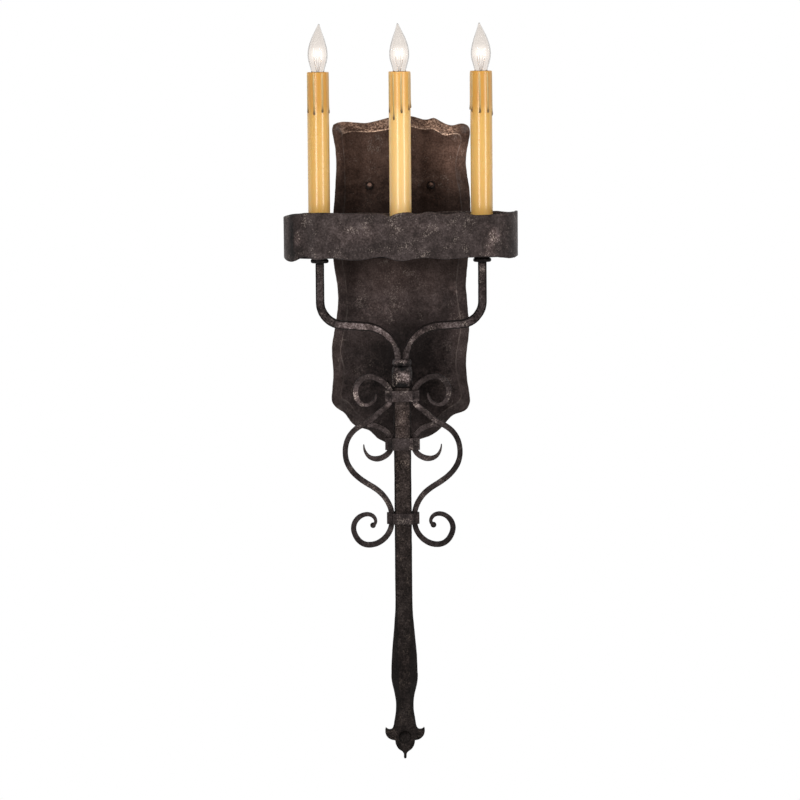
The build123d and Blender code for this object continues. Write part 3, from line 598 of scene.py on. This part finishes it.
def glass_material():
    """Clear blown glass, greyed edge on and towards its drawn tip as a painted shade, with a glow painted on
    it round the filament.
    """
    material, sheet, glass = new_material("clear bulb glass")
    place = sheet.place()
    height = sheet.split(place)["Z"]
    haze = sheet.noise(place, scale=90.0, detail=3.0, roughness=0.5)
    sheet.join(sheet.levels(haze, (0.3, 0.0), (0.75, 0.015)), glass.inputs["Roughness"])
    facing = sheet.add("ShaderNodeLayerWeight", {"Blend": 0.35}).outputs["Facing"]
    drawn = sheet.span(height, flame_tip_z - 30 * MM, flame_tip_z - 8 * MM, high=0.25)
    clear = sheet.mix(drawn, sheet.ramp(facing, *GLASS_EDGE_SHADE_TONES), GLASS_TIP_SHADE)
    sheet.join(clear, glass.inputs["Base Color"])
    away = sheet.maths("ABSOLUTE", sheet.maths("SUBTRACT", height, GLOW_Z))
    near = sheet.span(away, 12 * MM, 1 * MM, way="SMOOTHSTEP")
    middle = sheet.levels(facing, (0.0, 1), (0.22, 0))
    glow = sheet.mix(sheet.product(near, middle), (0.0, 0.0, 0.0), GLOW_COLOUR)
    sheet.join(glow, glass.inputs["Emission Color"])
    set_sockets(glass, {
        "Emission Strength": 0.1,
        "Transmission Weight": 1.0,
        "IOR": 1.47,
        "Specular IOR Level": 0.2,
    })
    return material


def glowing_material():
    """White-hot filament."""
    material, sheet, wire = new_material("lit filament")
    warm = sheet.noise(sheet.place(), scale=900.0, detail=2.0, roughness=0.5)
    heat = sheet.ramp(warm, (0.3, (1.0, 0.80, 0.60)), (0.7, (1.0, 0.93, 0.84)))
    sheet.join(heat, wire.inputs["Emission Color"])
    set_sockets(wire, {"Emission Strength": 1.5, "Base Color": (0.5, 0.45, 0.4, 1.0), "Roughness": 0.5})
    return material


def metal_material(name, light, dark, rough, metallic=1.0):
    """Plain worked metal, or paint or a moulding where it isn't metallic, with fine scuffs."""
    material, sheet, metal = new_material(name)
    place = sheet.place()
    scuff = sheet.noise(place, scale=500.0, detail=5.0, roughness=0.65, distortion=0.6)
    haze = sheet.noise(place, scale=120.0, detail=3.0, roughness=0.5)
    sheet.join(sheet.ramp(haze, (0.3, dark), (0.7, light)), metal.inputs["Base Color"])
    sheet.join(sheet.levels(scuff, (0.3, rough * 0.7), (0.75, rough * 1.35)), metal.inputs["Roughness"])
    sheet.join(sheet.bump(scuff, 0.12, 0.2 * MM), metal.inputs["Normal"])
    set_sockets(metal, {"Metallic": metallic})
    return material


honey_wax = wax_material()
smoked_drip = drip_material()
bulb_glass = glass_material()
lit_wire = glowing_material()
zinc = metal_material("zinc plate", (0.40, 0.40, 0.385), (0.24, 0.24, 0.235), 0.42)
brass = metal_material("socket brass", (0.76, 0.58, 0.27), (0.60, 0.43, 0.18), 0.32)
cap_metal = metal_material("bulb cap", (0.74, 0.66, 0.46), (0.58, 0.50, 0.33), 0.3)
solder = metal_material("solder", (0.60, 0.60, 0.60), (0.42, 0.42, 0.43), 0.45)
lead_wire = metal_material("filament lead", (0.36, 0.25, 0.17), (0.22, 0.15, 0.10), 0.4)
ground_green = metal_material("green screw", (0.06, 0.30, 0.11), (0.035, 0.20, 0.07), 0.4, metallic=0.0)
lead_cover = metal_material("lead cover", (0.045, 0.045, 0.045), (0.025, 0.025, 0.025), 0.55, metallic=0.0)
phenolic = metal_material(
    "socket phenolic", (0.035, 0.028, 0.024), (0.018, 0.015, 0.013), 0.35, metallic=0.0,
)


# Ironwork: every forged node is copied, given an even skin and hammered


def hammer_texture(name, size, depth):
    texture = bpy.data.textures.new(name, "CLOUDS")
    texture.noise_scale = size * MM
    texture.noise_depth = depth
    texture.noise_basis = "ORIGINAL_PERLIN"
    return texture


broad_blows = hammer_texture("broad blows", 22, 1)
close_blows = hammer_texture("close blows", 7, 2)
pitting = hammer_texture("pitting", 2.2, 2)
# The grey of these textures that leaves the skin where it is
UNTOUCHED = 0.47


def merge_points(piece):
    """Joins the loose triangles of a copied node into one skin."""
    open_mesh(piece)
    bpy.ops.mesh.remove_doubles(threshold=SAME_PLACE)
    face_outwards()
    close_mesh()


def keep_within(piece, node):
    """Dresses down the few high spots that stand past the node's own limits."""
    low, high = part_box(node)
    for point in piece.data.vertices:
        point.co = [min(max(at, least), most) for at, least, most in zip(point.co, low, high)]


def forge(node, material, skin, broad, close, pits):
    """A hammered copy of one iron node; the amounts are in millimetres."""
    piece = bpy.data.objects.new(node + "_forged", nodes[node].data.copy())
    bpy.context.scene.collection.objects.link(piece)
    coat(piece, material)
    merge_points(piece)
    finish_with(piece, "REMESH", mode="VOXEL", voxel_size=skin * MM)
    finish_with(piece, "SMOOTH", factor=0.5, iterations=1)
    for texture, blow in ((broad_blows, broad), (close_blows, close), (pitting, pits)):
        dents = {"texture": texture, "texture_coords": "LOCAL", "mid_level": UNTOUCHED}
        finish_with(piece, "DISPLACE", strength=blow * MM, **dents)
    keep_within(piece, node)
    take(piece)
    bpy.ops.object.shade_smooth()
    settle(piece, "fixture", node)
    return piece


def mark_corners(piece, rings, lowest=-1.0):
    """Marks the front of a bar near its corners, down to a height, for the painted shade that blackens them.
    """
    flat = 0.85
    marks = [float(-point.normal.y < flat and point.co.z > lowest) for point in piece.data.vertices]
    joined = [tuple(edge.vertices) for edge in piece.data.edges]
    for _ in range(rings):
        spread = list(marks)
        for one, other in joined:
            spread[one] = max(spread[one], marks[other])
            spread[other] = max(spread[other], marks[one])
        marks = spread
    near = piece.data.attributes.new("near a corner", "FLOAT", "POINT")
    near.data.foreach_set("value", marks)


# Height above which the arms run free of the hub
ARM_ROOT_Z = -178 * MM


def forge_ironwork():
    """Each piece with its finish, then its skin, broad blows, close blows and pits."""
    forge("backplate", plate_iron, 1.2, 1.3, 0.6, 0.2)
    forge("tray_band", tray_iron, 1.0, 0.7, 0.7, 0.35)
    for side in ("left", "right"):
        arm = forge("arm_" + side, arm_iron, 0.6, 0.5, 0.4, 0.25)
        mark_corners(arm, rings=2, lowest=ARM_ROOT_Z)
        forge("scroll_large_" + side, scroll_iron, 0.55, 0.4, 0.35, 0.2)
        forge("scroll_small_" + side, scroll_iron, 0.45, 0.35, 0.3, 0.18)
    stem = forge("stem", stem_iron, 0.65, 0.5, 0.5, 0.3)
    mark_corners(stem, rings=1)
    for place in ("upper", "middle", "lower"):
        forge("collar_" + place, scroll_iron, 0.45, 0.5, 0.5, 0.25)
    forge("hub_barrel", hub_iron, 0.4, 0.5, 0.9, 0.7)
    forge("hub_ring", hub_iron, 0.35, 0.3, 0.4, 0.3)
    forge("arm_washers", washer_iron, 0.35, 0.2, 0.25, 0.12)
    forge("cap_knobs", knob_iron, 0.3, 0.15, 0.1, 0.04)
    forge("finial_rivet", stem_iron, 0.35, 0.2, 0.3, 0.15)
    forge("standoff_bar", arm_iron, 0.6, 0.3, 0.35, 0.15)


forge_ironwork()


# Candle sleeves: a thin tube with a softened rim, and the runs of wax that set on it

SLEEVE_WALL = 1.5 * MM
RIM_SOFTENING = 0.5 * MM
# How far inside the node's skin the tube's skin and the middle line of a run lie
TUBE_INSET = 0.15 * MM
RUN_INSET = 0.3 * MM
# Each run: degrees round the sleeve from the front, and how far down in mm its bead sits
WAX_RUNS = {
    "left": ((-66, 44.4), (-21, 46.3), (24, 44), (78, 45.1), (128, 41), (182, 47), (236, 43)),
    "centre": ((-67, 44.7), (-34, 52.6), (9, 45.1), (58, 42.4), (84, 39.9), (140, 45), (212, 43)),
    "right": ((-86, 42.4), (-57, 44.4), (-8, 45.5), (36, 45.5), (80, 48.9), (142, 42), (208, 46)),
}
# A run from rim to bead: share of its length, half width along the sleeve's skin and half depth, in mm
RUN_SHAPE = (
    (0.015, 0.5, 0.25), (0.05, 1.0, 0.45), (0.15, 1.25, 0.55), (0.4, 1.2, 0.58), (0.6, 1.15, 0.6),
    (0.75, 1.05, 0.62), (0.87, 1.0, 0.7), (0.93, 1.1, 0.9), (0.965, 1.35, 1.15), (0.99, 1.4, 1.2),
    (1.012, 1.15, 1.0), (1.026, 0.5, 0.5),
)
# How far a run strays sideways, and how many radians of the stray fit in its length
RUN_STRAY = 0.3 * MM
STRAY_TURNS = 4.2


def wax_tube(side):
    """The sleeve itself: a cylinder opened at both ends, with a wall and a softened rim."""
    length = rim_z - sleeve_foot_z
    bpy.ops.mesh.primitive_cylinder_add(
        vertices=96, radius=sleeve_radius - TUBE_INSET, depth=length, end_fill_type="NOTHING",
        location=(candle_x[side], front_y, sleeve_foot_z + length / 2),
    )
    tube = bpy.context.object
    tube.name = "wax_sleeve_" + side
    open_mesh(tube)
    bpy.ops.mesh.subdivide(number_cuts=1)
    close_mesh()
    sharp = math.radians(50)
    finish_with(tube, "SOLIDIFY", thickness=SLEEVE_WALL, offset=-1.0)
    finish_with(tube, "BEVEL", width=RIM_SOFTENING, segments=3, limit_method="ANGLE", angle_limit=sharp)
    return tube


def wax_run(side, degrees, fall):
    """One run of wax, drawn down the front of the sleeve to its bead and then turned to its place."""
    skin_y = front_y - sleeve_radius + RUN_INSET
    rings = []
    for share, wide, deep in RUN_SHAPE:
        stray = RUN_STRAY * math.sin(STRAY_TURNS * share + degrees)
        middle = (candle_x[side] + stray, skin_y, rim_z - fall * share * MM)
        rings.append((middle, wide * MM, deep * MM))
    run = draw_out("wax_run", rings, points=12)
    finish_with(run, "SUBSURF", levels=1, render_levels=1)
    open_mesh(run)
    axis = (candle_x[side], front_y, rim_z)
    bpy.ops.transform.rotate(value=-math.radians(degrees), orient_axis="Z", center_override=axis)
    close_mesh()
    fix_place()
    down = run.data.attributes.new("down the run", "FLOAT", "POINT")
    for point, mark in zip(run.data.vertices, down.data):
        mark.value = (rim_z - point.co.z) / (fall * MM)
    return run


def make_sleeve(side):
    tube = wax_tube(side)
    coat(tube, honey_wax)
    runs = [wax_run(side, degrees, fall) for degrees, fall in WAX_RUNS[side]]
    for run in runs:
        coat(run, smoked_drip)
    join_to(tube, runs)
    bpy.ops.object.shade_smooth_by_angle(angle=math.radians(40))
    settle(tube, "sleeve_" + side, "sleeve_" + side)


for side in SIDES:
    make_sleeve(side)


# Bulbs: flame-tip glass blown on a stem, with a coiled filament on its leads

GLASS_WALL = 0.55 * MM
# How far the drawn tip leans to the right
TIP_LEAN = {"left": 1.7 * MM, "centre": -1.7 * MM, "right": -1.7 * MM}
# Height above the rim as a share of the glass, and radius as a share of the belly
GLASS_SHAPE = (
    (-0.477, 0.43), (-0.43, 0.44), (-0.36, 0.45), (-0.22, 0.49), (-0.1, 0.55), (0.0, 0.63), (0.07, 0.71),
    (0.14, 0.80), (0.21, 0.90), (0.27, 0.965), (0.33, 0.995), (0.39, 0.995), (0.46, 0.965), (0.53, 0.90),
    (0.60, 0.81), (0.67, 0.70), (0.74, 0.58), (0.80, 0.455), (0.86, 0.335), (0.91, 0.235), (0.95, 0.16),
    (0.98, 0.105), (1.0, 0.045),
)
# The glass stem inside the neck: height from the rim, half width and half depth, in mm
PRESS_SHAPE = (
    (-22.5, 3.9, 3.9), (-20.5, 3.4, 3.4), (-18, 2.5, 2.5), (-12, 2.1, 2.1),
    (-6, 2.1, 2.0), (-2.5, 2.6, 1.5), (-0.5, 2.8, 1.0), (0.4, 2.5, 0.7),
)
# Leads and hooks: outwards from the middle and up from the rim, in mm
LEAD_ROUTE = ((0.7, -6.0), (1.0, 0.0), (2.2, 5.0), (3.6, 11.0), (4.1, 17.0))
HOOK_ROUTE = ((0.3, -1.0), (0.8, 6.0), (1.6, 12.0), (1.7, 18.2))
HOOK_BEHIND = 0.5 * MM
LEAD_RADIUS = 0.22 * MM
HOOK_RADIUS = 0.14 * MM
# The coil, in mm: it runs from one lead's end to the other's and bows up between them
COIL_TURNS = 26
COIL_STEPS = 8 * COIL_TURNS
COIL_REACH, COIL_HEIGHT = LEAD_ROUTE[-1]
COIL_BOW = 2.6
COIL_RADIUS = 0.42
COIL_WIRE = 0.12


def make_glass(side):
    """The envelope, drawn ring by ring from the neck to the bent tip and given its wall."""
    height = flame_tip_z - rim_z
    rings = []
    for rise, share in GLASS_SHAPE:
        upper_half = max(0.0, 2 * rise - 1)
        x = candle_x[side] + TIP_LEAN[side] * upper_half ** 2
        radius = share * belly_radius
        rings.append(((x, front_y, rim_z + rise * height), radius, radius))
    glass = draw_out("flame_glass_" + side, rings)
    finish_with(glass, "SUBSURF", levels=1, render_levels=1)
    finish_with(glass, "SOLIDIFY", thickness=GLASS_WALL, offset=-1.0)
    return glass


def make_press(side):
    """The glass stem, flared where it meets the bulb and pinched flat on the leads."""
    rings = []
    for rise, wide, deep in PRESS_SHAPE:
        rings.append(((candle_x[side], front_y, rim_z + rise * MM), wide * MM, deep * MM))
    press = draw_out("press", rings, points=24)
    finish_with(press, "SUBSURF", levels=1, render_levels=1)
    return press


def thin_wire(name, points, radius):
    """A round wire along points, made as a curve and turned into a mesh."""
    line = bpy.data.curves.new(name, "CURVE")
    line.dimensions = "3D"
    line.bevel_depth = radius
    line.bevel_resolution = 2
    line.use_fill_caps = True
    run = line.splines.new("POLY")
    run.points.add(len(points) - 1)
    for knot, place in zip(run.points, points):
        knot.co = (*place, 1.0)
    piece = bpy.data.objects.new(name, line)
    bpy.context.scene.collection.objects.link(piece)
    take(piece)
    bpy.ops.object.convert(target="MESH")
    return bpy.context.object


def make_leads(side):
    """A lead and a hook on each side of the press."""
    x = candle_x[side]
    leads = []
    for way in (-MM, MM):
        route = [(x + way * out, front_y, rim_z + up * MM) for out, up in LEAD_ROUTE]
        leads.append(thin_wire("lead", route, LEAD_RADIUS))
        route = [(x + way * out, front_y + HOOK_BEHIND, rim_z + up * MM) for out, up in HOOK_ROUTE]
        leads.append(thin_wire("hook", route, HOOK_RADIUS))
    return leads


def make_coil(side):
    """The filament itself, coiled along a bow from lead to lead."""
    coil = []
    for step in range(COIL_STEPS + 1):
        share = step / COIL_STEPS
        angle = 2 * math.pi * COIL_TURNS * share
        across = COIL_REACH * (2 * share - 1)
        deep = COIL_RADIUS * math.cos(angle)
        up = COIL_HEIGHT + COIL_BOW * math.sin(math.pi * share) + COIL_RADIUS * math.sin(angle)
        coil.append((candle_x[side] + across * MM, front_y + deep * MM, rim_z + up * MM))
    return thin_wire("coil", coil, COIL_WIRE * MM)


def make_bulb(side):
    glass = make_glass(side)
    press = make_press(side)
    for part in (glass, press):
        coat(part, bulb_glass)
    join_to(glass, [press])
    bpy.ops.object.shade_smooth_by_angle(angle=math.radians(50))
    settle(glass, "bulb_" + side, "bulb_glass_" + side)
    leads = make_leads(side)
    for lead in leads:
        coat(lead, lead_wire)
    filament = make_coil(side)
    coat(filament, lit_wire)
    join_to(filament, leads)
    filament.name = "coiled_filament_" + side
    settle(filament, "bulb_" + side, "bulb_filament_" + side)


for side in SIDES:
    make_bulb(side)


# CAD nodes that stay as they are get their own finish

ZINC_PLATED = (
    "crossbar", "mounting_studs", "stud_lock_nuts", "standoff_washer", "standoff_nut",
    "centre_bolt", "fixing_nuts", "wire_tube", "tube_nuts",
)

for node in ZINC_PLATED:
    coat(nodes[node], zinc)
# Painted shade: the tray's cover and floor take the darkened iron
for node in ("tray_cover", "tray_floor"):
    coat(nodes[node], shaded_inner_iron)
coat(nodes["ground_screw"], ground_green)
coat(nodes["lead_wires"], lead_cover)
for side in SIDES:
    coat(nodes["socket_bracket_" + side], zinc)
    coat(nodes["socket_body_" + side], phenolic)
    coat(nodes["socket_shell_" + side], brass)
    coat(nodes["socket_contact_" + side], brass)
    coat(nodes["bulb_base_" + side], cap_metal)
    coat(nodes["bulb_tip_" + side], solder)


# Studio: a pale floor well below, white behind for the camera, glass and gloss, and soft lamps in front

FLOOR_SIZE = 3.2
FLOOR_PLACE = (0, -0.4, -1.05)
FLOOR_DEPTH = 0.02
BOARD_TONES = ((0.3, (0.86, 0.86, 0.855)), (0.7, (0.9, 0.9, 0.895)))
BOARD_GLOW = (0.86, 0.86, 0.855)
FILL_LIGHT = 0.22


def floor_material():
    """Matt pale board with a faint tooth, lighter to the camera, to glass and to gloss."""
    material, sheet, board = new_material("pale board")
    tooth = sheet.noise(sheet.place(), scale=60.0, detail=4.0, roughness=0.6)
    sheet.join(sheet.ramp(tooth, *BOARD_TONES), board.inputs["Base Color"])
    rays = sheet.add("ShaderNodeLightPath").outputs
    mirrored = sheet.maths("MAXIMUM", rays["Is Glossy Ray"], rays["Is Transmission Ray"])
    seen = sheet.maths("MAXIMUM", rays["Is Camera Ray"], mirrored)
    sheet.join(sheet.mix(seen, (0.0, 0.0, 0.0), BOARD_GLOW), board.inputs["Emission Color"])
    set_sockets(board, {"Emission Strength": 0.42, "Roughness": 0.9})
    return material


def make_floor():
    bpy.ops.object.select_all(action="DESELECT")
    bpy.ops.mesh.primitive_plane_add(size=FLOOR_SIZE, location=FLOOR_PLACE)
    floor = bpy.context.object
    floor.name = "pale_floor"
    open_mesh(floor)
    bpy.ops.mesh.extrude_region_move(TRANSFORM_OT_translate={"value": (0, 0, -FLOOR_DEPTH)})
    face_outwards()
    close_mesh()
    fix_place()
    coat(floor, floor_material())


def make_world():
    """White to the camera, to glass and, behind the light, to gloss; a low even fill otherwise."""
    world = bpy.data.worlds.new("studio")
    bpy.context.scene.world = world
    world.use_nodes = True
    sheet = Shader(world.node_tree)
    rays = sheet.add("ShaderNodeLightPath").outputs
    way = sheet.split(sheet.add("ShaderNodeTexCoord").outputs["Generated"])
    behind = sheet.maths("GREATER_THAN", way["Y"], 0.0)
    seen = sheet.maths("MAXIMUM", rays["Is Camera Ray"], rays["Is Transmission Ray"])
    seen = sheet.maths("MAXIMUM", seen, sheet.product(rays["Is Glossy Ray"], behind))
    sky = world.node_tree.nodes["Background"]
    set_sockets(sky, {"Color": (1.0, 1.0, 1.0, 1.0)})
    sheet.join(sheet.span(seen, 0.0, 1.0, low=FILL_LIGHT), sky.inputs["Strength"])


def soft_lamp(name, place, size, power, mirrored=True):
    """A rectangular soft lamp aimed just below the tray; one that is not mirrored leaves no glint."""
    aim = Vector((0.0, -0.09, -0.1))
    lamp = bpy.data.lights.new(name, "AREA")
    lamp.shape = "RECTANGLE"
    lamp.size, lamp.size_y = size
    lamp.energy = power
    stand = bpy.data.objects.new(name, lamp)
    bpy.context.scene.collection.objects.link(stand)
    stand.location = place
    stand.rotation_euler = (aim - Vector(place)).to_track_quat("-Z", "Y").to_euler()
    stand.visible_glossy = stand.visible_transmission = mirrored


def make_camera():
    """Stands five metres off, a little above the tray, at the photograph's angle."""
    look = Vector((-0.00246, -0.09, -0.2376))
    tilt = math.radians(5.5)
    roll = math.radians(-0.5)
    distance = 5.0
    width_seen = 0.8984
    camera = bpy.data.cameras.new("camera")
    camera.sensor_width = 36.0
    camera.lens = camera.sensor_width * distance / width_seen
    stand = bpy.data.objects.new("camera", camera)
    bpy.context.scene.collection.objects.link(stand)
    stand.location = look + distance * Vector((0, -math.cos(tilt), math.sin(tilt)))
    turned = Euler((math.pi / 2 - tilt, 0, 0)).to_matrix() @ Matrix.Rotation(roll, 3, "Z")
    stand.rotation_euler = turned.to_euler()
    bpy.context.scene.camera = stand


make_floor()
make_world()
soft_lamp("left strip", (-1.06, -2.36, 0.0), size=(0.2, 1.7), power=22)
soft_lamp("right strip", (1.77, -1.86, 0.0), size=(0.15, 1.7), power=21.5)
soft_lamp("top canopy", (-0.2, -1.55, 1.6), size=(1.5, 0.9), power=34, mirrored=False)
make_camera()
bpy.context.scene.view_settings.view_transform = "Standard"
